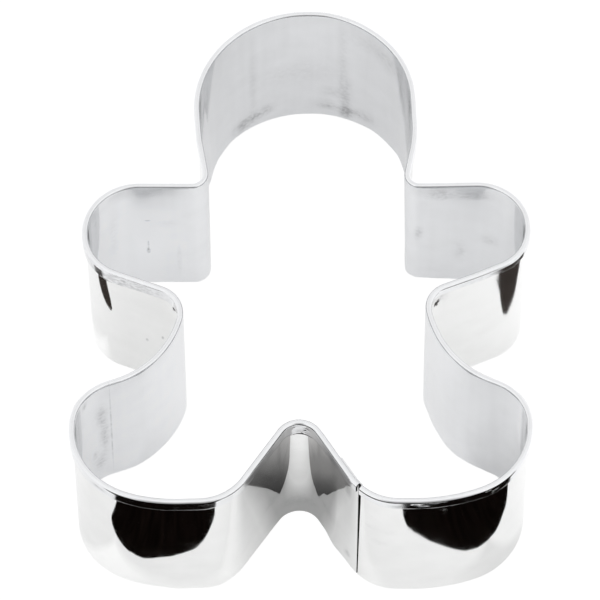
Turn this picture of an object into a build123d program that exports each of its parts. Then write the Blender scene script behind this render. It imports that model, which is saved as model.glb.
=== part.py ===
from build123d import *
from collections import namedtuple
import os
from math import degrees, radians, sin, tan

# A gingerbread-man cutter: one strip bent round a figure, its top edge rolled over outwards,
# its ends lapped beside the crotch and held by two spot welds.
# Frame: middle of the figure's box on the plane of the cutting edge, +Y to the head, +Z up to the rim.

# The figure, along the middle of the wall, in millimetres.
figure_length = 73.8
figure_width = 59.1

# The strip and its rolled rim.
band_depth = 25.0
sheet_thickness = 0.3
rim_depth = 2.1
roll_gap = 0.2

# The lapped ends and their welds.
lap_length = 4.8
lap_clearance = 0.05
seam_gap = 0.4
seam_past_bend = 1.4
weld_diameter = 1.8
weld_bite = 0.12

# Heights of the two welds, as shares of the band's depth.
weld_height_share = {"lower": 0.12, "upper": 0.78}

# Two neighbouring bends may take this much of the line between their corners.
bends_of_line_share = 0.99

# Corners that the strip is bent round, clockwise seen from the rim, from the right side of the head:
# name, place across as a share of the width, place along as a share of the length,
# and bend radius as a share of the width.
bend_share = [
    ("head_right", 0.248, 0.500, 0.230),
    ("cheek_right", 0.253, 0.244, 0.336),
    ("neck_right", 0.226, 0.133, 0.032),
    ("hand_top_right", 0.502, 0.136, 0.106),
    ("hand_low_right", 0.498, -0.006, 0.095),
    ("armpit_right", 0.266, -0.085, 0.063),
    ("hip_right", 0.302, -0.225, 0.237),
    ("foot_top_right", 0.495, -0.291, 0.111),
    ("heel_right", 0.494, -0.450, 0.169),
    ("sole_right", 0.312, -0.501, 0.382),
    ("toe_right", 0.143, -0.499, 0.119),
    ("crotch", -0.007, -0.308, 0.052),
    ("toe_left", -0.164, -0.497, 0.117),
    ("sole_left", -0.320, -0.500, 0.383),
    ("heel_left", -0.501, -0.454, 0.166),
    ("foot_top_left", -0.499, -0.289, 0.114),
    ("hip_left", -0.303, -0.231, 0.235),
    ("armpit_left", -0.249, -0.092, 0.069),
    ("hand_low_left", -0.474, -0.021, 0.105),
    ("hand_top_left", -0.487, 0.136, 0.116),
    ("neck_left", -0.205, 0.134, 0.035),
    ("cheek_left", -0.227, 0.239, 0.337),
    ("head_left", -0.250, 0.500, 0.245),
]

half_sheet = sheet_thickness / 2
rim_thickness = 2 * sheet_thickness + roll_gap
step_in = sheet_thickness + lap_clearance
seam_bend = [row[0] for row in bend_share].index("toe_right")

Bend = namedtuple("Bend", "start middle end centre radius")


def turned(direction):
    """the level direction a quarter turn to the left of another one"""
    return Vector(-direction.Y, direction.X, 0)


def bends():
    """the arcs of the outline, each no larger than its two neighbours leave room for"""
    corners = [Vector(x * figure_width, y * figure_length, 0) for _, x, y, _ in bend_share]
    following = corners[1:] + corners[:1]
    lines = [b - a for a, b in zip(corners, following)]
    halves = [radians((-lines[i - 1]).get_angle(lines[i]) / 2) for i in range(len(lines))]
    reaches = [row[3] * figure_width / tan(half) for row, half in zip(bend_share, halves)]
    wanted = [reaches[i] + reaches[(i + 1) % len(reaches)] for i in range(len(reaches))]
    room = [min(1, bends_of_line_share * line.length / both) for line, both in zip(lines, wanted)]
    arcs = []
    for i, corner in enumerate(corners):
        reach = reaches[i] * min(room[i - 1], room[i])
        back, onward = -lines[i - 1].normalized(), lines[i].normalized()
        inward = (back + onward).normalized()
        radius = reach * tan(halves[i])
        centre = corner + inward * (radius / sin(halves[i]))
        middle = centre - inward * radius
        arcs.append(Bend(corner + back * reach, middle, corner + onward * reach, centre, radius))
    return arcs


def seam_parts(arcs):
    """the bend that the seam lies in, and the direction from its end up to the crotch"""
    toe, crotch = arcs[seam_bend], arcs[seam_bend + 1]
    return toe, (crotch.start - toe.end).normalized()


def back_on(bend, arc_distance, radius):
    """a point that far before the end of a bend, on a circle about the bend's centre"""
    arm = (bend.end - bend.centre).rotate(Axis.Z, degrees(arc_distance / bend.radius))
    return bend.centre + arm.normalized() * radius


def band_path(arcs):
    """middle of the wall, clockwise from the outer end to where the inner end steps inwards"""
    toe = arcs[seam_bend]
    outer_end = back_on(toe, seam_past_bend, toe.radius)
    edges = [ThreePointArc(outer_end, back_on(toe, seam_past_bend / 2, toe.radius), toe.end)]
    reached = toe.end
    for bend in arcs[seam_bend + 1:] + arcs[:seam_bend]:
        edges += [Line(reached, bend.start), ThreePointArc(bend.start, bend.middle, bend.end)]
        reached = bend.end
    step = back_on(toe, seam_past_bend + seam_gap, toe.radius)
    edges += [Line(reached, toe.start), ThreePointArc(toe.start, toe.middle, step)]
    return Wire(edges)


def tab_path(arcs):
    """middle of the inner end: a step inwards at the seam, then along the back of the outer end"""
    toe, along = seam_parts(arcs)
    inner_radius = toe.radius - step_in
    step_start = seam_past_bend + seam_gap
    root = back_on(toe, step_start + seam_gap, toe.radius)
    step = back_on(toe, step_start, toe.radius)
    landing = back_on(toe, seam_past_bend, inner_radius)
    bend_end = back_on(toe, 0, inner_radius)
    tip = bend_end + along * (lap_length - seam_past_bend)
    return Wire([ThreePointArc(root, back_on(toe, step_start + seam_gap / 2, toe.radius), step),
                 Line(step, landing),
                 ThreePointArc(landing, back_on(toe, seam_past_bend / 2, inner_radius), bend_end),
                 Line(bend_end, tip)])


def across(path):
    """upright plane square to the start of a path: X outwards, Y up"""
    along = path.tangent_at(0)
    return Plane(origin=path.position_at(0), x_dir=turned(along), z_dir=along)


def rimmed_section():
    """wall, the roll over the top and the flange folded down the outside"""
    inner, outer = -half_sheet, rim_thickness - half_sheet
    roll_middle = (inner + outer) / 2
    roll_height = band_depth - rim_thickness / 2
    flange_foot = band_depth - rim_depth
    outside = [(inner, 0), (inner, roll_height), (roll_middle, band_depth),
               (outer, roll_height), (outer, flange_foot)]
    inside = [(outer - sheet_thickness, flange_foot), (outer - sheet_thickness, roll_height),
              (roll_middle, band_depth - sheet_thickness), (half_sheet, roll_height), (half_sheet, 0)]
    return make_face([Line(outside[0], outside[1]), ThreePointArc(outside[1:4]), Line(outside[3], outside[4]),
                      Line(outside[4], inside[0]), Line(inside[0], inside[1]), ThreePointArc(inside[1:4]),
                      Line(inside[3], inside[4]), Line(inside[4], outside[0])])


def plain_section():
    """flat wall of the inner end, cut off below the roll"""
    plain_height = band_depth - rim_thickness
    return Pos(0, plain_height / 2) * Rectangle(sheet_thickness, plain_height)


def spot_weld(arcs, name):
    """round slug of weld metal that reaches a little way into both layers of the lap"""
    toe, along = seam_parts(arcs)
    outward = turned(along)
    middle = toe.end + along * (lap_length / 2 - seam_past_bend) - outward * (step_in / 2)
    height = Vector(0, 0, weld_height_share[name] * band_depth)
    slug = Cylinder(weld_diameter / 2, lap_clearance + 2 * weld_bite)
    return Plane(origin=middle + height, z_dir=outward) * slug


def strip(arcs, welds):
    """the whole bent strip, with a shallow seat for each weld"""
    main_path, inner_path = band_path(arcs), tab_path(arcs)
    rimmed = sweep(across(main_path) * rimmed_section(), path=main_path)
    inner_end = sweep(across(inner_path) * plain_section(), path=inner_path, transition=Transition.RIGHT)
    band = rimmed + inner_end
    for weld in welds:
        band -= weld
    return band


arcs = bends()
pieces = {f"spot_weld_{name}": spot_weld(arcs, name) for name in weld_height_share}
pieces["cutter_band"] = strip(arcs, list(pieces.values()))
middle_of_box = pieces["cutter_band"].bounding_box().center()

os.makedirs("parts", exist_ok=True)
for name, piece in pieces.items():
    placed = Pos(-middle_of_box.X, -middle_of_box.Y, 0) * piece
    placed.label = name
    export_step(placed, f"parts/{name}.step")
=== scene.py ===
from collections import namedtuple
from math import ceil, cos, exp, hypot, pi, radians, sin, tan

import bpy
from mathutils import Matrix, Vector, noise


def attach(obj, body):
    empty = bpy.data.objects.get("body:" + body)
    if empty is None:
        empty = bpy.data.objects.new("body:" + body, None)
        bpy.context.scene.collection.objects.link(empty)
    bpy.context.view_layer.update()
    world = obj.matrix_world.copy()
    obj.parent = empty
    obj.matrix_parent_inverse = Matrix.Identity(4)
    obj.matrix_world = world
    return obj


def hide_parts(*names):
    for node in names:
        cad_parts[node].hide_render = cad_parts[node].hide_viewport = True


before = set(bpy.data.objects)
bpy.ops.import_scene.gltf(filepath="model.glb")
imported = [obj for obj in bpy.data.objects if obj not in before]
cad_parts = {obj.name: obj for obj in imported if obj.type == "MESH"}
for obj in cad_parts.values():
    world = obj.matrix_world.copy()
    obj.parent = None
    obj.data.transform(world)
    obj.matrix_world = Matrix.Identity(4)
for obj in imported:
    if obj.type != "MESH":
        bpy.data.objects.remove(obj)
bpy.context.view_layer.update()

# A gingerbread-man cutter: one strip bent round a figure, its top edge rolled over outwards, its ends lapped
# beside the crotch. Lengths are in millimetres unless a comment says otherwise. MM is one in metres.
MM = 0.001

# Sizes of the figure and of the strip that it is bent from.
figure_length = 73.8
figure_width = 59.1
band_depth = 25.0
sheet_thickness = 0.3
rim_depth = 2.1
roll_gap = 0.2
lap_length = 4.8
lap_clearance = 0.05
seam_gap = 0.4
seam_past_bend = 1.4

half_sheet = sheet_thickness / 2
rim_thickness = 2 * sheet_thickness + roll_gap
step_in = sheet_thickness + lap_clearance
roll_start = band_depth - rim_thickness / 2
roll_radius = (rim_thickness - sheet_thickness) / 2
roll_length = pi * roll_radius
flange_foot = band_depth - rim_depth
tab_height = band_depth - rim_thickness

# The figure's box is centred on the origin, which moves its outline by this much.
box_shift = (0.0079, 0.0085)

# How finely the strip is built, the rounding of its cut edges, and the narrow face that keeps each bend crisp.
station_spacing = 0.36
edge_radius = 0.1
edge_support = 0.12
sharpest_smooth_angle = 50

# Corners of the outline, clockwise from the right side of the head: place across as a share of the
# width, place along as a share of the length, bend radius as a share of the width.
bend_share = [
    (0.248, 0.500, 0.230), (0.253, 0.244, 0.336), (0.226, 0.133, 0.032), (0.502, 0.136, 0.106),
    (0.498, -0.006, 0.095), (0.266, -0.085, 0.063), (0.302, -0.225, 0.237), (0.495, -0.291, 0.111),
    (0.494, -0.450, 0.169), (0.312, -0.501, 0.382), (0.143, -0.499, 0.119), (-0.007, -0.308, 0.052),
    (-0.164, -0.497, 0.117), (-0.320, -0.500, 0.383), (-0.501, -0.454, 0.166), (-0.499, -0.289, 0.114),
    (-0.303, -0.231, 0.235), (-0.249, -0.092, 0.069), (-0.474, -0.021, 0.105), (-0.487, 0.136, 0.116),
    (-0.205, 0.134, 0.035), (-0.227, 0.239, 0.337), (-0.250, 0.500, 0.245)]

# The seam lies in the right toe's bend. Two neighbouring bends may take this much of the line between them.
seam_bend = 10
bends_of_line_share = 0.99

# How far the top of the roll lies inwards, as a share of the distance from its nearer side.
roll_lopsided = 0.18

# By the seam both ends slant onwards along the strip, most at the cutting edge. There the outer end also reaches
# back over the seam, and at the rim it draws away. The inner end shows through the seam for its first millimetre.
seam_slant = 0.33
seam_closing = 0.25
seam_opening_at_rim = 0.06
seam_shown = 1.0

# Points on the inner end's line that belong to its step inwards.
points_in_step = 3

Bend = namedtuple("Bend", "start end centre radius turn")


# ---- the outline ----
def bends():
    """the arcs of the outline, each no larger than its two neighbours leave room for"""
    corners = [Vector((x * figure_width, y * figure_length)) for x, y, _ in bend_share]
    count = len(corners)
    lines = [corners[(i + 1) % count] - corners[i] for i in range(count)]
    halves = [(-lines[i - 1]).angle(lines[i]) / 2 for i in range(count)]
    reaches = [row[2] * figure_width / tan(half) for row, half in zip(bend_share, halves)]
    room = [min(1, bends_of_line_share * lines[i].length / (reaches[i] + reaches[(i + 1) % count]))
            for i in range(count)]
    arcs = []
    for i, corner in enumerate(corners):
        reach = reaches[i] * min(room[i - 1], room[i])
        back, onward = -lines[i - 1].normalized(), lines[i].normalized()
        radius = reach * tan(halves[i])
        centre = corner + (back + onward).normalized() * (radius / sin(halves[i]))
        start, end = corner + back * reach, corner + onward * reach
        turn = (end - centre).angle_signed(start - centre)
        arcs.append(Bend(start, end, centre, radius, turn))
    return arcs


def along_line(start, end):
    """evenly spaced points on a line, without its last one"""
    steps = max(2, ceil((end - start).length / station_spacing))
    return [start.lerp(end, i / steps) for i in range(steps)]


def along_arc(centre, start, turn):
    """evenly spaced points on an arc that turns anticlockwise, without its last one"""
    arm = start - centre
    steps = max(4, ceil(abs(turn) * arm.length / station_spacing))
    return [centre + Matrix.Rotation(turn * i / steps, 2) @ arm for i in range(steps)]


def before_end(bend, distance, radius):
    """a point that far before the end of a bend, on a circle about the bend's centre"""
    arm = bend.end - bend.centre
    return bend.centre + Matrix.Rotation(distance / bend.radius, 2) @ arm.normalized() * radius


def band_points(arcs):
    """middle of the wall, clockwise from the outer end to where the inner end steps inwards"""
    toe = arcs[seam_bend]
    points = along_arc(toe.centre, before_end(toe, seam_past_bend, toe.radius), -seam_past_bend / toe.radius)
    reached = toe.end
    for bend in arcs[seam_bend + 1:] + arcs[:seam_bend]:
        points += along_line(reached, bend.start) + along_arc(bend.centre, bend.start, bend.turn)
        reached = bend.end
    left = (seam_past_bend + seam_gap) / toe.radius
    points += along_line(reached, toe.start) + along_arc(toe.centre, toe.start, toe.turn + left)
    return points + [before_end(toe, seam_past_bend + seam_gap, toe.radius)]


def tab_points(arcs):
    """middle of the inner end: a step inwards at the seam, then along the back of the outer end"""
    toe, crotch = arcs[seam_bend], arcs[seam_bend + 1]
    inner_radius = toe.radius - step_in
    step = before_end(toe, seam_past_bend + seam_gap, toe.radius)
    landing = before_end(toe, seam_past_bend, inner_radius)
    bend_end = before_end(toe, 0, inner_radius)
    tip = bend_end + (crotch.start - toe.end).normalized() * (lap_length - seam_past_bend)
    return (along_line(step, landing) + along_arc(toe.centre, landing, -seam_past_bend / toe.radius)
            + along_line(bend_end, tip) + [tip])


arcs = bends()
outline, tab_line = band_points(arcs), tab_points(arcs)
strip_length = sum((b - a).length for a, b in zip(outline, outline[1:]))


# ---- nodes ----
def add(tree, kind, links=None, **settings):
    """a new node with its settings and with its inputs set or linked"""
    made = tree.nodes.new(kind)
    for name, value in settings.items():
        setattr(made, name, value)
    for name, value in (links or {}).items():
        if isinstance(value, bpy.types.NodeSocket):
            tree.links.new(value, made.inputs[name])
        else:
            made.inputs[name].default_value = value
    return made


def maths(tree, operation, *values):
    """one function of a value or two, worked on through any further values"""
    made = add(tree, "ShaderNodeMath", dict(enumerate(values[:2])), operation=operation).outputs[0]
    return maths(tree, operation, made, *values[2:]) if len(values) > 2 else made


def ramp(tree, value, from_min, from_max, to_min, to_max, smooth=False):
    """to_min to to_max as value goes from from_min to from_max, and no further"""
    links = {"Value": value, "From Min": from_min, "From Max": from_max, "To Min": to_min, "To Max": to_max}
    kind = "SMOOTHSTEP" if smooth else "LINEAR"
    return add(tree, "ShaderNodeMapRange", links, interpolation_type=kind).outputs[0]


def stretch(tree, value, start, full, fading, end, most=1):
    """most while value lies between full and fading, and nothing before start or after end"""
    return maths(tree, "MULTIPLY", ramp(tree, value, start, full, 0, most), ramp(tree, value, fading, end, 1, 0))


def mixed(tree, factor, first, second):
    """one value fading into another"""
    return add(tree, "ShaderNodeMix", {"Factor": factor, "A": first, "B": second}, data_type="FLOAT").outputs[0]


def blended(tree, factor, first, second):
    """one colour fading into another"""
    return add(tree, "ShaderNodeMix", {0: factor, 6: first, 7: second}, data_type="RGBA").outputs[2]


# ---- the folded strip, made with Geometry Nodes ----
def stored(tree, geometry, name, value, kind="FLOAT"):
    """the geometry with one more value kept at each point"""
    links = {"Geometry": geometry, "Name": name, "Value": value}
    return add(tree, "GeometryNodeStoreNamedAttribute", links, data_type=kind, domain="POINT").outputs[0]


def folded_strip_tree():
    """sweeps a strip along a path: a wall, a roll over its top and a flange down the outside, edges rounded"""
    tree = bpy.data.node_groups.new("folded_strip", "GeometryNodeTree")
    sizes = ["Sheet Thickness", "Edge Radius", "Support", "Wall Height", "Roll Radius", "Roll Turn", "Flange Depth"]
    steps = ["Edge Steps", "Wall Steps", "Roll Steps", "Flange Steps"]
    sockets = ([("Path", "NodeSocketGeometry")] + [(name, "NodeSocketFloat") for name in sizes]
               + [(name, "NodeSocketInt") for name in steps] + [("Finish", "NodeSocketMaterial")])
    for name, kind in sockets:
        tree.interface.new_socket(name, in_out="INPUT", socket_type=kind)
    tree.interface.new_socket("Strip", in_out="OUTPUT", socket_type="NodeSocketGeometry")
    given = add(tree, "NodeGroupInput").outputs

    # The section is one closed line: up the stations of one skin and back down those of the other.
    ends = [given["Edge Steps"]]
    for more in (1, given["Wall Steps"], 1, given["Roll Steps"], 1, given["Flange Steps"], 1, given["Edge Steps"]):
        ends.append(maths(tree, "ADD", ends[-1], more))
    count = maths(tree, "MULTIPLY", maths(tree, "ADD", ends[-1], 1), 2)
    line = add(tree, "GeometryNodeResampleCurve",
               {"Curve": add(tree, "GeometryNodeCurvePrimitiveLine").outputs[0], "Count": count})
    place = add(tree, "GeometryNodeInputIndex").outputs[0]
    station = maths(tree, "MINIMUM", place, maths(tree, "SUBTRACT", maths(tree, "SUBTRACT", count, 1), place))
    on_way_down = maths(tree, "GREATER_THAN", place, maths(tree, "ADD", ends[-1], 0.5))
    skin = ramp(tree, on_way_down, 0, 1, 1, -1)

    # Each station's place on the flat strip, in the order wall, roll and flange.
    radius, support = given["Edge Radius"], given["Support"]
    taken = maths(tree, "ADD", radius, maths(tree, "MULTIPLY", support, 2))
    foot = ramp(tree, station, 0, ends[0], 0, pi / 2)
    tip = ramp(tree, station, ends[7], ends[8], 0, pi / 2)
    wall = maths(tree, "ADD",
                 maths(tree, "MULTIPLY", radius, maths(tree, "SUBTRACT", 1, maths(tree, "COSINE", foot))),
                 ramp(tree, station, ends[0], ends[1], 0, support),
                 ramp(tree, station, ends[1], ends[2], 0, maths(tree, "SUBTRACT", given["Wall Height"], taken)),
                 ramp(tree, station, ends[2], ends[3], 0, support))
    turned = ramp(tree, station, ends[3], ends[4], 0, given["Roll Turn"])
    flange = maths(tree, "ADD",
                   ramp(tree, station, ends[4], ends[5], 0, support),
                   ramp(tree, station, ends[5], ends[6], 0, maths(tree, "SUBTRACT", given["Flange Depth"], taken)),
                   ramp(tree, station, ends[6], ends[7], 0, support),
                   maths(tree, "MULTIPLY", radius, maths(tree, "SINE", tip)))

    # Half the sheet to one side, thinning round the two edges, then the bend over the roll.
    rounding = maths(tree, "MINIMUM", maths(tree, "SINE", foot), maths(tree, "COSINE", tip))
    rounding = maths(tree, "MULTIPLY", radius, maths(tree, "SUBTRACT", rounding, 1))
    half = maths(tree, "ADD", maths(tree, "MULTIPLY", given["Sheet Thickness"], 0.5), rounding)
    arm = maths(tree, "ADD", given["Roll Radius"], maths(tree, "MULTIPLY", half, skin))
    sine, cosine = maths(tree, "SINE", turned), maths(tree, "COSINE", turned)
    out = maths(tree, "ADD", maths(tree, "SUBTRACT", given["Roll Radius"], maths(tree, "MULTIPLY", arm, cosine)),
                maths(tree, "MULTIPLY", flange, sine))
    up = maths(tree, "ADD", wall, maths(tree, "MULTIPLY", arm, sine), maths(tree, "MULTIPLY", flange, cosine))
    # A sweep along a path laid Z up turns its section upside down, so both places go in reversed.
    spot = add(tree, "ShaderNodeCombineXYZ", {"X": maths(tree, "MULTIPLY", out, -1),
                                              "Y": maths(tree, "MULTIPLY", up, -1)})
    bent = add(tree, "GeometryNodeSetPosition", {"Geometry": line.outputs[0], "Position": spot.outputs[0]})
    section = add(tree, "GeometryNodeSetSplineCyclic", {"Geometry": bent.outputs[0], "Cyclic": True}).outputs[0]
    rise = maths(tree, "ADD", wall, maths(tree, "MULTIPLY", turned, given["Roll Radius"]), flange)
    section = stored(tree, stored(tree, section, "rise", rise), "skin", skin)

    run = add(tree, "GeometryNodeSplineParameter").outputs["Length"]
    path = add(tree, "GeometryNodeSetCurveNormal", {"Curve": stored(tree, given["Path"], "run", run)}, mode="Z_UP")
    swept = add(tree, "GeometryNodeCurveToMesh", {"Curve": path.outputs[0], "Profile Curve": section,
                                                  "Fill Caps": True}).outputs[0]
    # The flat strip's own places, in millimetres, for the finish.
    kept = [add(tree, "GeometryNodeInputNamedAttribute", {"Name": name}, data_type="FLOAT").outputs["Attribute"]
            for name in ("run", "rise", "skin")]
    flat = add(tree, "ShaderNodeCombineXYZ", {"X": maths(tree, "MULTIPLY", kept[0], 1 / MM),
                                              "Y": maths(tree, "MULTIPLY", kept[1], 1 / MM), "Z": kept[2]})
    swept = stored(tree, swept, "flat_strip", flat.outputs[0], "FLOAT_VECTOR")
    real = add(tree, "GeometryNodeRealizeInstances", {"Geometry": swept})
    dressed = add(tree, "GeometryNodeSetMaterial", {"Geometry": real.outputs[0], "Material": given["Finish"]})
    add(tree, "NodeGroupOutput", {"Strip": dressed.outputs[0]})
    return tree


def swept_strip(tree, name, points, sizes):
    """a plain mesh swept along the points, given in millimetres"""
    curve = bpy.data.curves.new(name, "CURVE")
    curve.dimensions = "3D"
    spline = curve.splines.new("POLY")
    spline.points.add(len(points) - 1)
    for point, place in zip(spline.points, points):
        point.co = ((place.x + box_shift[0]) * MM, (place.y + box_shift[1]) * MM, 0, 1)
    guide = bpy.data.objects.new(name, curve)
    bpy.context.scene.collection.objects.link(guide)
    sweep = guide.modifiers.new("sweep", "NODES")
    sweep.node_group = tree
    for socket in tree.interface.items_tree:
        if socket.in_out == "INPUT" and socket.name in sizes:
            sweep[socket.identifier] = sizes[socket.name]
    mesh = bpy.data.meshes.new_from_object(guide.evaluated_get(bpy.context.evaluated_depsgraph_get()))
    bpy.data.objects.remove(guide)
    bpy.data.curves.remove(curve)
    return mesh


def ring_frames(points):
    """the direction of travel and the outward direction at each point of a path"""
    before, after = points[:1] + points[:-1], points[1:] + points[-1:]
    travel = [(end - start).normalized() for start, end in zip(before, after)]
    return [(along, Vector((-along.y, along.x))) for along in travel]


def settle(mesh, points, frames, offset):
    """moves each vertex along, out of and up the wall by offset(run, out, up), all in millimetres"""
    per_ring = len(mesh.vertices) // len(points)
    run = 0
    for i, (point, (along, outward)) in enumerate(zip(points, frames)):
        run += (point - points[max(i - 1, 0)]).length
        middle = Vector((point.x + box_shift[0], point.y + box_shift[1]))
        for vertex in mesh.vertices[i * per_ring:(i + 1) * per_ring]:
            out = (vertex.co.xy / MM - middle).dot(outward)
            shift_along, shift_out, shift_up = offset(run, out, vertex.co.z / MM)
            shift = along * shift_along + outward * shift_out
            vertex.co += Vector((shift.x, shift.y, shift_up)) * MM


def hump(*ratios):
    """1 at the middle, fading to nothing a few ratios away"""
    return exp(-sum(ratio * ratio for ratio in ratios))


def ripple(run, up, length, height, seed):
    """noise from -1 to 1 over the sheet, with waves of about that length and height"""
    return noise.noise(Vector((run / length, up / height, seed)))


def total_at(spots, run, up):
    """what soft spots add up to at one place on the sheet"""
    return sum(strength * hump((run - middle) / length, (up - height) / tall)
               for middle, height, length, tall, strength in spots)


# Height of the flange's free edge along the strip: run and height.
hem_line = [(0, 23.3), (4, 23.1), (8.5, 22.5), (10.5, 22.1), (13.5, 22.1), (15.5, 22.5), (24, 23.0), (36, 22.9),
            (60, 22.95), (77, 22.7), (88, 22.6), (94, 22.8), (150, 23.0), (205, 23.3), (212, 23.5), (220, 23.4),
            (236, 23.0), (252, 23.0), (258, 23.1), (266, 23.25), (280, 23.3)]

# How far the hand-bent outline strays outwards: run and distance.
stray_line = [(0, -0.05), (5, -0.05), (8, -0.08), (14, 0), (32, 0), (38.6, 0.13), (44, 0), (56, 0), (63.5, -0.25),
              (67.5, -0.25), (76, 0), (152, 0), (159, -0.18), (170, -0.18), (178, 0), (206, 0), (214, 0.17), (221, 0),
              (226, 0), (233.8, -0.25), (237.9, -0.25), (246, -0.13), (262, -0.13), (268, -0.05), (275, -0.05)]

# How far the cutting edge leans outwards from under the rim: run and distance.
lean_line = [(0, 0.10), (3, 0.17), (4.9, 0.33), (5.8, 0.28), (7.6, 0.04), (9, 0), (14, 0), (16.6, -0.12),
             (25.6, -0.20), (28, 0), (34, 0), (36, -0.17), (40, -0.17), (44, 0), (46, 0.11), (51, 0.11), (54, 0),
             (57, 0), (58.6, 0.33), (62.6, 0.38), (64.4, 0.30), (68, 0.35), (69.8, 0.28), (73.5, 0.11), (77, 0),
             (103, 0), (106, 0.03), (115.6, 0.05), (118, 0), (126, 0), (130.4, -0.66), (132.2, -0.48), (134, -0.29),
             (135.9, -0.19), (137.6, -0.03), (144.6, -0.05), (152, 0), (155.3, 0.11), (157.1, 0.20), (159, 0.38),
             (162.6, 0.35), (164.4, 0.44), (166.2, 0.26), (170, 0), (180.5, 0), (184.7, 0.86), (186.5, 0.72),
             (188.4, 0.55), (190.3, 0.48), (195, 0), (221, 0), (225, 0.36), (226.8, 0.31), (228.6, 0.30),
             (230.4, 0.16), (232.2, 0.15), (234, 0.26), (236.5, 0.34), (238.5, 0.20), (241, 0), (256, 0.16),
             (270, 0.16), (274.3, 0.10)]

# Dents in the wall and in the flange: run and height of the middle, half length and half height, depth.
wall_dents = [(2.4, 19.5, 0.7, 0.7, 0.05), (2.4, 3.0, 0.7, 0.7, 0.05), (15.0, 5.0, 5.0, 1.6, 0.010)]
flange_dents = [(266.5, 24.1, 0.5, 0.28, 0.13), (265.7, 23.7, 0.7, 0.22, 0.13), (264.9, 24.4, 0.7, 0.22, 0.10),
                (263.2, 24.4, 0.8, 0.20, 0.06), (257.1, 24.2, 0.4, 0.25, 0.12), (256.3, 23.6, 0.5, 0.30, 0.10),
                (12.9, 24.0, 0.5, 0.35, 0.10), (11.5, 23.6, 0.5, 0.30, 0.13), (12.2, 22.7, 0.7, 0.25, 0.10),
                (86.4, 24.0, 0.5, 0.30, 0.05), (219.6, 23.2, 0.6, 0.4, 0.10), (43.8, 23.9, 0.8, 0.4, 0.04)]


def between_places(table, place):
    """the value at a place in a table of places and values"""
    for (start, low), (end, high) in zip(table, table[1:]):
        if place <= end:
            return low + (high - low) * max(0, place - start) / (end - start)
    return table[-1][1]


def unevenness(run, up):
    """how far the hand-bent sheet slants onwards and strays outwards, with kinks beside the crotch"""
    slow, quick = ripple(run, up, 11, 16, 1.7), ripple(run, up, 4, 9, 5.3)
    kinks = ripple(run, up, 2, 10, 3.9) * hump((run - 12) / 9)
    out = 0.030 * slow + 0.010 * quick + 0.008 * kinks - 0.02
    out += between_places(stray_line, run) + between_places(lean_line, run) * max(0, 1 - up / roll_start)
    out -= total_at(wall_dents, run, up)
    from_seam = min(run, strip_length - run)
    return seam_slant * (1 - up / band_depth) * hump(from_seam / 2), out


def strip_offset(run, out, up):
    """the unevenness of the rimmed strip, with its lopsided roll, its wavy flange and its closing seam"""
    shift_along, shift_out = unevenness(run, up)
    shift_up = 0
    if out > half_sheet * 1.2 and up < roll_start:
        drop = (roll_start - up) / (roll_start - flange_foot)
        shift_out -= drop * (0.03 + 0.04 * ripple(run, 0, 5, 1, 9.1))
        shift_up = drop * (between_places(hem_line, run) - flange_foot + 0.12 * ripple(run, 0, 3, 1, 4.4))
        shift_out -= total_at(flange_dents, run, up + shift_up)
    if up > roll_start:
        # The roll turns tightly over the wall and more gently down to the flange.
        from_middle = out - roll_radius
        hidden = hypot(from_middle, up - roll_start) < roll_radius
        radius = roll_gap / 2 if hidden else rim_thickness / 2
        shift_out -= roll_lopsided * max(0, radius - abs(from_middle))
    # The seam closes up towards the cutting edge.
    closing = (seam_closing * (1 - min(up / flange_foot, 1)) - seam_opening_at_rim) * hump(run / 0.8)
    return shift_along - closing, shift_out, shift_up


def inner_end_offset(run, out, up):
    """the inner end follows the strip that it lies behind"""
    shift_along, shift_out = unevenness(max(0, run - hypot(step_in, seam_gap)), up)
    return shift_along, shift_out, 0


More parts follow.
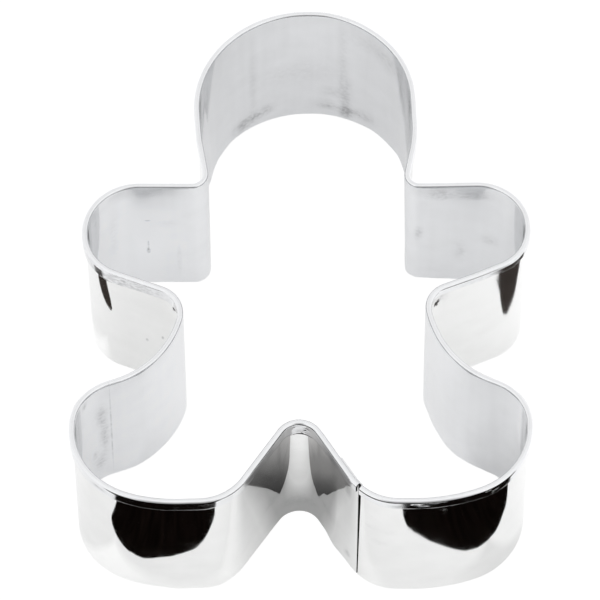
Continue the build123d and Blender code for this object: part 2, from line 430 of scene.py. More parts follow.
# Marks on each side of the sheet: run and height of the middle, half length and half height, strength.
smudges_and_shade = {
    "inside": [(139.6, 2.0, 1.3, 0.9, 1.0), (141.6, 2.5, 1.3, 0.9, 0.8), (143.6, 2.9, 0.9, 0.8, 0.6),
               (152.3, 2.6, 1.3, 0.7, 0.55), (155.0, 2.0, 0.9, 1.0, 1.1), (154.9, 4.5, 0.6, 2.6, 0.40),
               (157.6, 2.6, 1.8, 0.8, 0.6), (153.0, 6.2, 1.5, 0.9, 0.30), (154.9, 8.4, 0.9, 1.8, 0.25),
               (141.5, 12.0, 0.5, 9.0, 0.16), (154.4, 13.0, 0.6, 9.0, 0.20), (147.5, 11.0, 6.0, 2.2, 0.14),
               (102.0, 14.0, 0.6, 7.0, 0.15), (109.0, 15.5, 2.2, 0.8, 0.15),
               (105.0, 23.9, 0.9, 0.3, 0.3), (107.0, 23.4, 1.0, 0.3, 0.3), (108.8, 22.9, 0.8, 0.3, 0.3),
               (60.0, 12.0, 0.6, 4.0, 0.55), (59.6, 17.5, 0.7, 2.4, 0.55), (59.2, 5.0, 0.9, 1.6, 0.55),
               (58.4, 7.8, 0.5, 0.9, 0.5), (56.8, 23.2, 0.4, 0.6, 0.8), (188.6, 22.8, 1.6, 1.0, 0.5),
               (193.0, 22.6, 2.2, 0.9, 0.55), (185.8, 12.5, 0.5, 1.2, 0.5), (191.5, 8.0, 0.8, 2.4, 0.25),
               (195.4, 11.5, 1.2, 1.0, 0.25), (172.0, 20.5, 3.0, 2.5, 0.25), (162.0, 21.5, 5.0, 2.0, 0.3)],
    # The three smudges at runs 7.5 to 17 are painted shade: the dark band that the crotch mirrors across its lower
    # part.
    "outside": [(272.2, 15.6, 0.7, 0.6, 0.15), (271.0, 12.4, 0.9, 0.6, 0.12), (269.5, 16.0, 1.2, 0.5, 0.08),
                (2.0, 2.6, 0.6, 0.7, 0.8), (2.4, 19.5, 0.5, 0.7, 0.9), (17.0, 8.2, 2.2, 1.1, 0.30),
                (12.5, 3.4, 3.5, 1.1, 0.30), (7.5, 6.8, 2.2, 1.1, 0.30), (219.7, 21.1, 0.4, 0.5, 0.6),
                (218.9, 22.0, 1.0, 0.9, 0.45)],
    "flange": [(43.8, 23.9, 1.0, 0.4, 0.7), (268.6, 23.8, 1.0, 0.5, 0.8), (87.4, 24.5, 0.35, 0.15, 0.9),
               (86.1, 24.0, 0.4, 0.2, 0.9), (86.5, 23.2, 0.35, 0.15, 0.8), (12.2, 23.0, 1.0, 0.6, 0.5)]}
scuffs = {
    "inside": [],
    "outside": [(262.6, 20.8, 0.3, 0.7, 0.5), (209.0, 15.0, 8.0, 14.0, 0.10)],
    "flange": [(266.5, 24.1, 0.35, 0.2, 1.0), (265.7, 23.7, 0.55, 0.15, 1.0), (264.9, 24.4, 0.5, 0.12, 0.9),
               (264.0, 24.3, 0.9, 0.10, 0.6), (257.1, 24.2, 0.4, 0.14, 0.7), (256.4, 23.5, 0.3, 0.2, 0.7),
               (256.0, 23.9, 0.3, 0.15, 0.8), (255.6, 24.3, 0.3, 0.12, 0.7),
               (260.0, 23.6, 1.6, 0.10, 0.3), (30.0, 24.2, 0.8, 0.3, 0.2), (33.5, 23.5, 0.2, 0.6, 0.3)]}
dirt_and_shade = {
    "inside": [],
    # The outside and flange spots at run 12 are painted shade under the flange's free edge by the crotch; the other
    # spots are dirt.
    "outside": [(219.6, 21.05, 0.45, 0.72, 1.4), (12.0, 21.6, 0.9, 0.30, 1.3), (78.95, 21.2, 0.35, 0.45, 1.2),
                (218.6, 22.1, 0.8, 0.3, 0.4)],
    "flange": [(219.6, 23.0, 0.35, 0.3, 1.1), (219.0, 23.2, 0.5, 0.15, 0.7), (12.0, 22.2, 2.0, 0.22, 1.5),
               (13.2, 24.05, 0.25, 0.2, 0.9), (266.0, 24.25, 0.8, 0.18, 0.6)]}

# Marks too narrow for the mesh: run and rise of the middle, side of the sheet, half length, half rise, strength.
narrow_smudges = [(61.05, 13.5, 1, 0.13, 12.0, 0.4), (106.8, 10.0, 1, 0.16, 1.4, 0.45),
                  (106.8, 8.6, 1, 0.30, 0.85, 0.55), (110.9, 6.6, 1, 0.35, 4.0, 0.12),
                  (106.8, 16.4, 1, 0.5, 0.22, 0.45), (83.4, 9.5, -1, 0.22, 0.4, 0.75),
                  (81.1, 11.5, -1, 0.22, 0.4, 0.75)]
narrow_scuffs = [(262.9, 21.6, -1, 0.45, 0.35, 0.4)]


def side_and_height(run, rise, skin):
    """which side of the strip shows a place on it, and the height it has there"""
    if skin < 0:
        return "outside", rise
    if rise <= roll_start:
        return "inside", rise
    height = 2 * roll_start + roll_length - rise
    if height < roll_start:
        drawn_out = (roll_start - between_places(hem_line, run)) / (roll_start - flange_foot)
        height = roll_start - (roll_start - height) * drawn_out
    return "flange", height


def marks_at(place):
    """smudge, scuff and dirt at one place of the flat strip; smudge and dirt include painted shade"""
    run, rise, skin = place
    side, height = side_and_height(run, rise, skin)
    return [total_at(spots[side], run, height) for spots in (smudges_and_shade, scuffs, dirt_and_shade)]


def paint_marks(mesh):
    """smudge, scuff and dirt at each point of the strip, kept as one attribute; smudge and dirt include painted shade
    """
    values = [amount for place in mesh.attributes["flat_strip"].data for amount in marks_at(place.vector)]
    mesh.attributes.new("marks", "FLOAT_VECTOR", "POINT").data.foreach_set("vector", values)


# ---- finishes ----
white = (1, 1, 1, 1)
outside_colour, inside_colour = (0.875, 0.878, 0.874, 1), (0.865, 0.872, 0.885, 1)
# The seam's two colours are painted shade for the narrow gap between the lapped ends, with some dirt.
seam_shade_colour, seam_shade_dull_colour = (0.05, 0.048, 0.045, 1), (0.02, 0.019, 0.018, 1)
weld_colour, heat_colour = (0.62, 0.60, 0.57, 1), (0.42, 0.36, 0.30, 1)
# The darkest colour: dirt, and painted shade under the flange's edge by the crotch.
dirt_and_shade_colour = (0.035, 0.03, 0.028, 1)

# Depth of the finest bumps, in metres.
polish_bump, rough_bump = 4e-7, 4e-6


def shader_group(name, inputs, outputs):
    """an empty group with its named inputs and outputs"""
    tree = bpy.data.node_groups.new(name, "ShaderNodeTree")
    for title, kind, value in inputs:
        socket = tree.interface.new_socket(title, in_out="INPUT", socket_type=kind)
        if value is not None:
            socket.default_value = value
    for title, kind in outputs:
        tree.interface.new_socket(title, in_out="OUTPUT", socket_type=kind)
    return tree, add(tree, "NodeGroupInput").outputs


def placed(tree, group, links):
    """the outputs of a group set in a material, with its own values"""
    return add(tree, "ShaderNodeGroup", links, node_tree=group).outputs


def grain_group():
    """noise drawn out along the strip or up it: Along and Up are how many grains there are in a millimetre"""
    tree, given = shader_group(
        "drawn_grain",
        [("Vector", "NodeSocketVector", None), ("Along", "NodeSocketFloat", 1.0), ("Up", "NodeSocketFloat", 1.0),
         ("Detail", "NodeSocketFloat", 2.0), ("Seed", "NodeSocketFloat", 0.0)],
        [("Factor", "NodeSocketFloat")])
    split = add(tree, "ShaderNodeSeparateXYZ", {"Vector": given["Vector"]}).outputs
    seed = maths(tree, "ADD", maths(tree, "MULTIPLY", split["Z"], 9.7), given["Seed"])
    drawn = add(tree, "ShaderNodeCombineXYZ", {"X": maths(tree, "MULTIPLY", split["X"], given["Along"]),
                                               "Y": maths(tree, "MULTIPLY", split["Y"], given["Up"]), "Z": seed})
    grains = add(tree, "ShaderNodeTexNoise", {"Vector": drawn.outputs[0], "Scale": 1.0, "Detail": given["Detail"]})
    add(tree, "NodeGroupOutput", {"Factor": grains.outputs[0]})
    return tree


def spot_group():
    """a soft round or drawn-out mark at one place on the strip"""
    tree, given = shader_group(
        "small_mark", [(name, "NodeSocketVector", None) for name in ("Vector", "Middle", "Reach")],
        [("Factor", "NodeSocketFloat")])
    away = add(tree, "ShaderNodeVectorMath", {0: given["Vector"], 1: given["Middle"]}, operation="SUBTRACT").outputs[0]
    ratio = add(tree, "ShaderNodeVectorMath", {0: away, 1: given["Reach"]}, operation="DIVIDE").outputs[0]
    far = add(tree, "ShaderNodeVectorMath", {0: ratio}, operation="LENGTH").outputs["Value"]
    add(tree, "NodeGroupOutput", {"Factor": ramp(tree, far, 0.4, 1.3, 1, 0, smooth=True)})
    return tree


def polish_group(grain):
    """polished sheet: rolling lines, faint upright bending marks, haze, fine scratches, smudges, scuffs and dirt,
    where smudges and dirt also carry painted shade
    """
    tree, given = shader_group(
        "worn_polish",
        [("Vector", "NodeSocketVector", None), ("Colour", "NodeSocketColor", (0.87, 0.87, 0.87, 1)),
         ("Dull Colour", "NodeSocketColor", (0.34, 0.34, 0.35, 1)), ("Smudge And Shade", "NodeSocketFloat", 0.0),
         ("Scuff", "NodeSocketFloat", 0.0), ("Dirt And Shade", "NodeSocketFloat", 0.0), ("Haze", "NodeSocketFloat", 0.0),
         ("Bending", "NodeSocketFloat", 1.0), ("Roughness", "NodeSocketFloat", 0.05)],
        [("Colour", "NodeSocketColor"), ("Roughness", "NodeSocketFloat"), ("Height", "NodeSocketFloat")])
    place = given["Vector"]

    def grains(along, up, detail, seed):
        return placed(tree, grain, {"Vector": place, "Along": along, "Up": up, "Detail": detail, "Seed": seed})[0]

    rolling = grains(0.06, 9.0, 3.0, 1.0)
    bending = grains(0.9, 0.04, 3.0, 2.0)
    haze = grains(0.25, 0.3, 4.0, 3.0)
    fleck = grains(1.6, 1.8, 3.0, 4.0)
    scored = grains(0.12, 3.0, 1.0, 5.0)
    where = grains(0.5, 0.8, 2.0, 6.0)

    # A scratch is where a long grain crosses its middle value, in the few places that are scratched.
    line = ramp(tree, maths(tree, "ABSOLUTE", maths(tree, "SUBTRACT", scored, 0.5)), 0, 0.006, 1, 0)
    scratch = maths(tree, "MULTIPLY", line, ramp(tree, where, 0.57, 0.65, 0, 1))
    patchy = ramp(tree, fleck, 0.3, 0.7, 0.25, 1.0)
    smudge_and_shade = maths(tree, "MINIMUM", maths(tree, "MULTIPLY", given["Smudge And Shade"], patchy), 1)
    scuff = maths(tree, "MINIMUM", maths(tree, "MULTIPLY", given["Scuff"], ramp(tree, fleck, 0.3, 0.5, 0.6, 1)), 1)
    soil_and_shade = maths(tree, "MULTIPLY", given["Dirt And Shade"], ramp(tree, fleck, 0.35, 0.55, 0.6, 1.1))
    speck_and_shade = ramp(tree, soil_and_shade, 0.35, 0.75, 0, 1)

    bends = maths(tree, "MULTIPLY", maths(tree, "SUBTRACT", bending, 0.5), given["Bending"])
    shade = maths(tree, "ADD", 1, maths(tree, "MULTIPLY", bends, 0.08),
                  maths(tree, "MULTIPLY", maths(tree, "SUBTRACT", haze, 0.5), 0.10),
                  maths(tree, "MULTIPLY", scratch, -0.10))
    shaded = add(tree, "ShaderNodeVectorMath", {0: given["Colour"], "Scale": shade}, operation="SCALE").outputs[0]
    hazy = blended(tree, given["Haze"], shaded, given["Dull Colour"])
    # Smudges dull the colour and dark spots darken it; both carry painted shade as well as real marks.
    dulled = blended(tree, smudge_and_shade, hazy, given["Dull Colour"])
    colour = blended(tree, speck_and_shade, dulled, dirt_and_shade_colour)
    rough = maths(tree, "ADD", given["Roughness"], maths(tree, "MULTIPLY", smudge_and_shade, 0.15),
                  maths(tree, "MULTIPLY", scuff, 0.45), maths(tree, "MULTIPLY", speck_and_shade, 0.3),
                  maths(tree, "MULTIPLY", scratch, 0.1), ramp(tree, haze, 0.35, 0.75, 0, 0.04))
    height = maths(tree, "ADD", maths(tree, "MULTIPLY", rolling, 0.2), bends, maths(tree, "MULTIPLY", scratch, -0.6),
                   maths(tree, "MULTIPLY", scuff, fleck))
    add(tree, "NodeGroupOutput", {"Colour": colour, "Roughness": rough, "Height": height})
    return tree


def metal_material(name):
    """a new metal with its tree and its shader"""
    made = bpy.data.materials.new(name)
    made.use_nodes = True
    shader = made.node_tree.nodes["Principled BSDF"]
    shader.inputs["Metallic"].default_value = 1
    return made, made.node_tree, shader


def join(tree, outputs, shader, depth):
    """the polish's colour, roughness and bumps go into the metal"""
    tree.links.new(outputs["Colour"], shader.inputs["Base Color"])
    tree.links.new(outputs["Roughness"], shader.inputs["Roughness"])
    bump = add(tree, "ShaderNodeBump", {"Strength": 1.0, "Distance": depth, "Height": outputs["Height"]})
    tree.links.new(bump.outputs[0], shader.inputs["Normal"])


def place_in_millimetres(tree):
    """the place on a piece"""
    place = add(tree, "ShaderNodeTexCoord").outputs["Object"]
    return add(tree, "ShaderNodeVectorMath", {0: place, "Scale": 1 / MM}, operation="SCALE").outputs[0]


def kept_on_mesh(tree, name):
    """a vector kept at each point of the strip, and its three parts"""
    vector = add(tree, "ShaderNodeAttribute", attribute_name=name).outputs["Vector"]
    return vector, add(tree, "ShaderNodeSeparateXYZ", {"Vector": vector}).outputs


def with_marks(tree, spot, flat, amount, listed):
    """an amount with narrow marks added to it"""
    for run, rise, skin, length, tall, strength in listed:
        mark = placed(tree, spot, {"Vector": flat, "Middle": (run, rise, skin), "Reach": (length, tall, 1)})[0]
        amount = maths(tree, "ADD", amount, maths(tree, "MULTIPLY", mark, strength))
    return amount


def polished_material(grain, spot, polish):
    """the strip's finish: the inside and the rim are one skin of the sheet, the outside is the other"""
    made, tree, metal = metal_material("polished_strip")
    flat, (run, rise, skin) = kept_on_mesh(tree, "flat_strip")
    smudge_and_shade, scuff, soil_and_shade = kept_on_mesh(tree, "marks")[1]
    shown_skin = ramp(tree, skin, -0.5, 0.5, 0, 1)
    on_rim = maths(tree, "MULTIPLY", ramp(tree, rise, roll_start - 0.15, roll_start + 0.1, 0, 1), shown_skin)
    on_flange = ramp(tree, rise, roll_start + 0.55, roll_start + 0.85, 0, 1)
    on_bead = maths(tree, "SUBTRACT", on_rim, on_flange)
    under_rim = maths(tree, "MULTIPLY", ramp(tree, rise, roll_start - 3.2, roll_start, 0, 1, smooth=True),
                      ramp(tree, rise, roll_start, roll_start + 0.25, 1, 0), shown_skin)

    # Haze under the rim, most of all on the arms' tops, and on the flange at the arms' undersides and the crotch.
    patchy = placed(tree, grain, {"Vector": flat, "Along": 0.22, "Up": 0.15, "Detail": 2.0, "Seed": 11.0})[0]
    scuffed = placed(tree, grain, {"Vector": flat, "Along": 1.6, "Up": 3.0, "Detail": 4.0, "Seed": 12.0})[0]
    on_arm_tops = maths(tree, "ADD", stretch(tree, run, 95, 99, 111, 115, 0.8),
                        stretch(tree, run, 184, 188, 196, 201, 0.8), 0.2)
    rim_haze = maths(tree, "MULTIPLY", under_rim, on_arm_tops, ramp(tree, patchy, 0.40, 0.62, 0.02, 0.24))
    on_arms = maths(tree, "ADD", stretch(tree, run, 78, 84, 92, 97), stretch(tree, run, 200, 205, 212, 218))
    in_crotch = stretch(tree, run, 3, 6, 18, 21, 0.14)
    worn = maths(tree, "MULTIPLY", on_arms, ramp(tree, scuffed, 0.40, 0.62, 0.06, 0.45))
    hem_haze = maths(tree, "MULTIPLY", on_flange, maths(tree, "ADD", in_crotch, worn))

    rough = maths(tree, "ADD", ramp(tree, skin, -0.5, 0.5, 0.04, 0.08), maths(tree, "MULTIPLY", on_bead, 0.08),
                  maths(tree, "MULTIPLY", on_flange, 0.02))
    # Smudge and dirt here carry painted shade by the crotch along with the real marks.
    looks = {"Vector": flat, "Colour": blended(tree, shown_skin, outside_colour, inside_colour),
             "Smudge And Shade": with_marks(tree, spot, flat, smudge_and_shade, narrow_smudges),
             "Scuff": with_marks(tree, spot, flat, scuff, narrow_scuffs), "Dirt And Shade": soil_and_shade,
             "Haze": maths(tree, "ADD", rim_haze, hem_haze), "Bending": ramp(tree, skin, -0.5, 0.5, 0.15, 0.7),
             "Roughness": rough}
    join(tree, placed(tree, polish, looks), metal, polish_bump)
    return made


def seam_material(polish):
    """bare cut ends and the shut seam between them: a dark colour painted for the shade in the narrow seam gap, with
    some dirt
    """
    made, tree, metal = metal_material("seam_shade_and_dirt")
    looks = {"Vector": place_in_millimetres(tree), "Colour": seam_shade_colour, "Smudge And Shade": 0.5,
             "Dull Colour": seam_shade_dull_colour, "Roughness": 0.5}
    join(tree, placed(tree, polish, looks), metal, rough_bump)
    return made


def weld_material(grain, polish):
    """the spot welds: duller steel with a heat-stained middle"""
    made, tree, metal = metal_material("weld_metal")
    close = place_in_millimetres(tree)
    stain = placed(tree, grain, {"Vector": close, "Along": 2.0, "Up": 2.0, "Detail": 3.0, "Seed": 21.0})[0]
    stained = blended(tree, ramp(tree, stain, 0.4, 0.65, 0, 1), weld_colour, heat_colour)
    looks = {"Vector": close, "Colour": stained, "Smudge And Shade": 0.25, "Roughness": 0.35}
    join(tree, placed(tree, polish, looks), metal, rough_bump)
    return made


grain, spot = grain_group(), spot_group()
polish = polish_group(grain)
polished = polished_material(grain, spot, polish)
seam_shade_and_dirt = seam_material(polish)
weld_metal = weld_material(grain, polish)
for weld in ("spot_weld_lower", "spot_weld_upper"):
    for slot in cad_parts[weld].material_slots:
        slot.material = weld_metal


# ---- the strip itself ----
tree = folded_strip_tree()
sizes = {"Sheet Thickness": sheet_thickness * MM, "Edge Radius": edge_radius * MM, "Support": edge_support * MM,
         "Wall Height": roll_start * MM, "Roll Radius": roll_radius * MM, "Roll Turn": pi,
         "Flange Depth": (rim_depth - rim_thickness / 2) * MM,
         "Edge Steps": 3, "Wall Steps": 22, "Roll Steps": 12, "Flange Steps": 9, "Finish": polished}
strip_mesh = swept_strip(tree, "bent_strip", outline, sizes)
# The inner end is flat all the way up, and cut off below the roll.
sizes.update({"Wall Height": tab_height / 2 * MM, "Roll Radius": 0.0, "Roll Turn": 0.0,
              "Flange Depth": tab_height / 2 * MM, "Wall Steps": 14, "Roll Steps": 0, "Flange Steps": 14})
tab_mesh = swept_strip(tree, "inner_end", tab_line, sizes)
settle(strip_mesh, outline, ring_frames(outline), strip_offset)
# The first rings of the inner end step inwards, and move with the ring after the step.
tab_frames = ring_frames(tab_line)
tab_frames[:points_in_step] = [tab_frames[points_in_step]] * points_in_step
settle(tab_mesh, tab_line, tab_frames, inner_end_offset)
paint_marks(strip_mesh)

# The cut ends, the only faces with more than four corners, and what the seam shows of the inner end take the seam's
# dark colour: painted shade in the narrow gap, with some dirt.
places = tab_mesh.attributes["flat_strip"].data
for face in strip_mesh.polygons:
    face.material_index = int(len(face.vertices) > 4)
for face in tab_mesh.polygons:
    corners = [places[i].vector for i in face.vertices]
    in_seam = all(corner.z < 0 for corner in corners) and min(corner.x for corner in corners) < seam_shown
    face.material_index = int(len(corners) > 4 or in_seam)
for name, mesh in (("bent_strip", strip_mesh), ("inner_end", tab_mesh)):
    mesh.materials.append(seam_shade_and_dirt)
    mesh.shade_smooth()
    mesh.set_sharp_from_angle(angle=radians(sharpest_smooth_angle))
    piece = bpy.data.objects.new(name, mesh)
    bpy.context.scene.collection.objects.link(piece)
    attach(piece, "root")
    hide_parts("cutter_band")


# ---- camera at the photograph's place ----
camera_place = Vector((-0.253, -365.30, 644.76))
camera_elevation, camera_roll = radians(60), radians(-0.20)
lens_data = bpy.data.cameras.new("camera")
lens_data.sensor_width = 36
lens_data.lens = 328.8
lens_data.clip_start, lens_data.clip_end = 0.05, 20
camera = bpy.data.objects.new("camera", lens_data)
bpy.context.scene.collection.objects.link(camera)
right, up = Vector((1, 0, 0)), Vector((0, sin(camera_elevation), cos(camera_elevation)))
ahead = Vector((0, cos(camera_elevation), -sin(camera_elevation)))
turned = Matrix((right * cos(camera_roll) + up * sin(camera_roll),
                 up * cos(camera_roll) - right * sin(camera_roll), -ahead)).transposed()
camera.matrix_world = Matrix.Translation(camera_place * MM) @ turned.to_4x4()
bpy.context.scene.camera = camera


# ---- floor, world and light ----
def stage_plane(name, corners, height, material):
    """a flat piece of the studio, level with the floor"""
    mesh = bpy.data.meshes.new(name)
    mesh.from_pydata([(x * MM, y * MM, height * MM) for x, y in corners], [], [range(len(corners))])
    mesh.materials.append(material)
    plane = bpy.data.objects.new(name, mesh)
    bpy.context.scene.collection.objects.link(plane)
    return plane


def mirrored_only(plane):
    """a board that nothing but the polished metal shows"""
    plane.visible_camera = plane.visible_diffuse = plane.visible_shadow = False
    plane.visible_transmission = plane.visible_volume_scatter = False


def node_material(name):
    """a new material with an empty tree"""
    made = bpy.data.materials.new(name)
    made.use_nodes = True
    made.node_tree.nodes.clear()
    return made, made.node_tree


def coordinate(tree, axis):
    """a place on the floor, in millimetres"""
    place = add(tree, "ShaderNodeTexCoord").outputs["Object"]
    split = add(tree, "ShaderNodeSeparateXYZ", {"Vector": place})
    return maths(tree, "DIVIDE", split.outputs[axis], MM)


def level_at(tree, value, places):
    """the level at a place, from a list of places and levels"""
    start, end = places[0][0], places[-1][0]
    made = add(tree, "ShaderNodeValToRGB", {"Fac": ramp(tree, value, start, end, 0, 1)})
    stops = made.color_ramp.elements
    while len(stops) < len(places):
        stops.new(1.0)
    for stop, (place, level) in zip(stops, places):
        stop.position = (place - start) / (end - start)
        stop.color = (level, level, level, 1)
    return made.outputs[0]


def grey(tree, level):
    """a grey of one level"""
    return add(tree, "ShaderNodeCombineColor", {"Red": level, "Green": level, "Blue": level}).outputs[0]


def floor_light(tree, rays):
    """how light the floor is to the polished metal, from place to place"""
    across, back = coordinate(tree, "X"), coordinate(tree, "Y")
    apart = maths(tree, "ABSOLUTE", across)
    near = maths(tree, "MAXIMUM", ramp(tree, back, -130, -60, 0.14, 1, smooth=True),
                 ramp(tree, apart, 35, 110, 0, 1))
    again = ramp(tree, rays["Glossy Depth"], 1.4, 1.6, 1, 0.89)
    by_hands = maths(tree, "MULTIPLY", ramp(tree, apart, 15, 22, 0, 0.06), ramp(tree, back, -14, -10, 0, 1))
    by_leg = maths(tree, "MULTIPLY", ramp(tree, across, 18, 26, 0, -0.14), ramp(tree, back, -14, -10, 1, 0))
    in_notch = maths(tree, "MULTIPLY", ramp(tree, apart, 9, 11, 0.07, 0), ramp(tree, back, -26, -24, 1, 0))
    within = maths(tree, "MULTIPLY", ramp(tree, across, -26, 26, 1.05, 0.96), ramp(tree, back, 4, 24, 1, 0.94),
                   maths(tree, "ADD", 1, by_hands, by_leg, in_notch))
    # Past the figure's sides, in front of its feet and under its arms the light falls a little differently.
    under_arms = maths(tree, "MULTIPLY", ramp(tree, apart, 15, 18, 0, 1), stretch(tree, back, -19.5, -18, -3, -1.5))
    beyond = maths(tree, "MAXIMUM", ramp(tree, apart, 28.5, 30, 0, 1), ramp(tree, back, -38.5, -37, 1, 0), under_arms)
    by_arms = maths(tree, "MULTIPLY", ramp(tree, back, -30, -22, 0, 1), ramp(tree, across, -10, 22, 0.06, 0.08))
    without = maths(tree, "MULTIPLY", ramp(tree, across, -28, -8, 0.885, 0.99), ramp(tree, across, -5, 10, 1, 0.965),
                    maths(tree, "ADD", 1, by_arms))
    return maths(tree, "MULTIPLY", near, again, mixed(tree, beyond, within, without))


def white_paper():
    """plain white with a soft shadow to the camera, and unevenly lit to the polished metal"""
    made, tree = node_material("white_paper")
    rays = add(tree, "ShaderNodeLightPath").outputs
    matt = add(tree, "ShaderNodeBsdfDiffuse", {"Color": (0.8, 0.8, 0.8, 1)})
    glow = add(tree, "ShaderNodeEmission", {"Color": white, "Strength": 0.955})
    shadow = add(tree, "ShaderNodeBsdfDiffuse", {"Color": (0.12, 0.12, 0.12, 1)})
    seen = add(tree, "ShaderNodeAddShader", {0: glow.outputs[0], 1: shadow.outputs[0]})
    share = floor_light(tree, rays)
    shaded = add(tree, "ShaderNodeBsdfDiffuse", {"Color": grey(tree, maths(tree, "MULTIPLY", share, 0.8))})
    lift = add(tree, "ShaderNodeEmission", {"Color": white, "Strength": maths(tree, "MULTIPLY", share, 0.32)})
    lit = add(tree, "ShaderNodeAddShader", {0: shaded.outputs[0], 1: lift.outputs[0]})
    mirrored = add(tree, "ShaderNodeMixShader", {"Fac": rays["Is Glossy Ray"], 1: matt.outputs[0], 2: lit.outputs[0]})
    shown = add(tree, "ShaderNodeMixShader", {"Fac": rays["Is Camera Ray"], 1: mirrored.outputs[0],
                                              2: seen.outputs[0]})
    add(tree, "ShaderNodeOutputMaterial", {"Surface": shown.outputs[0]})
    return made


def streaked(tree, darkest, lightest):
    """streaks from front to back between two levels"""
    drawn = add(tree, "ShaderNodeCombineXYZ", {"X": maths(tree, "MULTIPLY", coordinate(tree, "X"), 1.3),
                                               "Y": maths(tree, "MULTIPLY", coordinate(tree, "Y"), 0.12)})
    streaks = add(tree, "ShaderNodeTexNoise", {"Vector": drawn.outputs[0], "Scale": 1.0, "Detail": 5.0}).outputs[0]
    return ramp(tree, streaks, 0.42, 0.72, darkest, lightest)


def board_material(name, colour, darkest, lightest):
    """a dark board of one colour, plain if its two levels are the same and streaked if they aren't"""
    made, tree = node_material(name)
    level = darkest if darkest == lightest else streaked(tree, darkest, lightest)
    dark = add(tree, "ShaderNodeEmission", {"Color": colour, "Strength": level})
    add(tree, "ShaderNodeOutputMaterial", {"Surface": dark.outputs[0]})
    return made


def notch_shade():
    """the shade in the notch between the legs, deepest where the strip mirrors itself"""
    made, tree = node_material("notch_shade")
    back = coordinate(tree, "Y")
    far = maths(tree, "MULTIPLY", ramp(tree, back, -36, -30.2, 1, 0.78), ramp(tree, back, -29.6, -26.8, 1, 0.6))
    once = add(tree, "ShaderNodeBsdfTransparent", {"Color": grey(tree, far)})
    left_part, right_part = level_at(tree, back, notch_left_levels), level_at(tree, back, notch_right_levels)
    level = mixed(tree, ramp(tree, coordinate(tree, "X"), -1, 1, 0, 1), left_part, right_part)
    twice = add(tree, "ShaderNodeEmission", {"Color": (1, 0.985, 0.98, 1), "Strength": level})
    depth = ramp(tree, add(tree, "ShaderNodeLightPath").outputs["Glossy Depth"], 1.4, 1.6, 0, 1)
    seen = add(tree, "ShaderNodeMixShader", {"Fac": depth, 1: once.outputs[0], 2: twice.outputs[0]})
    add(tree, "ShaderNodeOutputMaterial", {"Surface": seen.outputs[0]})
    return made


def light_studio():
    """white all round but dark low down in front, and plain white behind the object"""
    world = bpy.data.worlds.new("studio")
    world.use_nodes = True
    bpy.context.scene.world = world
    tree = world.node_tree
    tree.nodes.clear()
    direction = add(tree, "ShaderNodeTexCoord").outputs["Generated"]
    way = add(tree, "ShaderNodeSeparateXYZ", {"Vector": direction}).outputs
    flat_length = maths(tree, "SQRT", maths(tree, "SUBTRACT", 1.0001, maths(tree, "MULTIPLY", way["Z"], way["Z"])))
    in_front = ramp(tree, maths(tree, "DIVIDE", way["Y"], flat_length), -0.97, -0.80, 1, 0)
    horizon = mixed(tree, in_front, 1.0, 0.24)
    climb = mixed(tree, in_front, ramp(tree, way["Z"], 0.0, 0.30, 0, 1, smooth=True),
                  maths(tree, "POWER", ramp(tree, way["Z"], 0.0, 0.95, 0, 1), 1.6))
    overhead = maths(tree, "ADD", maths(tree, "MULTIPLY", way["Y"], 0.5), maths(tree, "MULTIPLY", way["Z"], 0.866))
    dome = maths(tree, "MULTIPLY", ramp(tree, way["Y"], -0.6, 0.6, 1.05, 0.95),
                 ramp(tree, overhead, 0.90, 0.99, 1, 0.93))
    rays = add(tree, "ShaderNodeLightPath").outputs
    level = mixed(tree, rays["Is Glossy Ray"], 1.0, mixed(tree, climb, horizon, dome))
    level = mixed(tree, rays["Is Camera Ray"], level, 1.0)
    sky = add(tree, "ShaderNodeBackground", {"Color": white, "Strength": level})
    add(tree, "ShaderNodeOutputWorld", {"Surface": sky.outputs[0]})


# Levels in the notch where the strip mirrors itself: place from front to back and level.
notch_left_levels = [(-35, 0.65), (-34, 0.581), (-33, 0.452), (-32, 0.363), (-31, 0.285), (-29, 0.235), (-27, 0.106),
                     (-26, 0.07)]
notch_right_levels = [(-35, 0.53), (-34, 0.465), (-33, 0.398), (-32, 0.346), (-31, 0.276), (-30, 0.198), (-28, 0.095),
                      (-26, 0.05)]

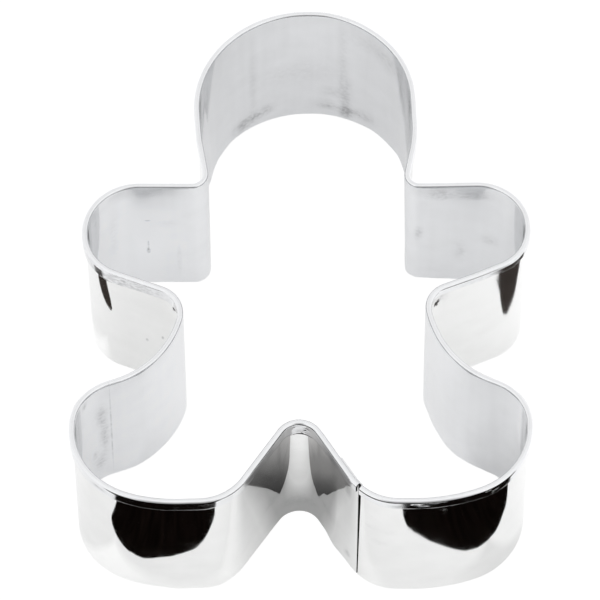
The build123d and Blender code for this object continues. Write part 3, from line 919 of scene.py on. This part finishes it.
# Dark boards in front of the feet and by the hands, which the polished outside mirrors: corners on the floor.
black_board = board_material("black_board", (1, 0.66, 0.55, 1), 0.002, 0.006)
brown_board = board_material("brown_board", (1, 0.82, 0.74, 1), 0.038, 0.038)
boards = {
    "board_left_foot": (black_board, [
        (-150, -131), (-33.4, -42.0), (-33.15, -40.3), (-32.95, -38.8), (-32.5, -38.3), (-31.6, -38.2),
        (-30.5, -38.35), (-29.3, -38.55), (-27.9, -38.85), (-26.2, -39.15), (-24.3, -39.35), (-23.4, -39.6),
        (-22.5, -39.85), (-20.8, -40.5), (-19.1, -41.25), (-17.3, -41.95), (-15.4, -42.35), (-14.6, -42.55),
        (-13.9, -42.95), (-13.1, -43.6), (-11.1, -44.3), (-8.4, -45.0), (-6.5, -45.3), (-5.3, -45.6), (-4.6, -46.2),
        (-3.6, -47.2), (60, -125), (60, -160), (-150, -160)]),
    "board_right_foot": (black_board, [
        (12.6, -160), (12.8, -50.3), (13.2, -48.2), (13.5, -47.5), (13.9, -46.6), (14.8, -45.7), (15.9, -45.2),
        (17.0, -44.6), (18.0, -44.0), (19.0, -43.5), (20.0, -42.9), (20.9, -42.3), (21.7, -41.7), (22.5, -41.1),
        (23.3, -40.5), (24.0, -39.95), (25.4, -39.25), (26.7, -38.6), (27.9, -37.95), (28.7, -37.4), (29.5, -36.9),
        (30.9, -35.7), (32.7, -34.4), (33.7, -33.7), (34.9, -32.6), (36.3, -32.0), (39.6, -31.8), (120, -60),
        (120, -160)]),
    "board_left_hand": (brown_board, [
        (-41, 2.7), (-37.8, 0.0), (-36.7, -1.4), (-35.3, -3.1), (-33.9, -4.7), (-32.7, -6.0),
        (-32.6, -6.7), (-34.1, -6.8), (-35.3, -6.5), (-36.6, -6.1), (-41, -4.8)]),
    "board_right_hand": (brown_board, [
        (42.5, -14), (37.6, -12.2), (36.5, -10.2), (35.3, -9.6), (34.9, -9.0), (34.3, -7.8), (33.6, -6.6),
        (33.0, -5.2), (32.7, -4.3), (33.3, -2.5), (34.7, -1.1), (36.0, 1.0), (37.3, 2.9), (38.5, 4.7), (39.4, 7.2),
        (42.5, 9)])}
floor_corners = [(-2000, -2000), (2000, -2000), (2000, 2000), (-2000, 2000)]
notch_corners = [(-9, -38), (9, -38), (9, -24), (-9, -24)]

stage_plane("floor", floor_corners, -0.02, white_paper())
for name, (board, corners) in boards.items():
    mirrored_only(stage_plane(name, corners, 0, board))
mirrored_only(stage_plane("board_notch", notch_corners, 0.01, notch_shade()))
light_studio()
bpy.context.scene.view_settings.view_transform = "Standard"
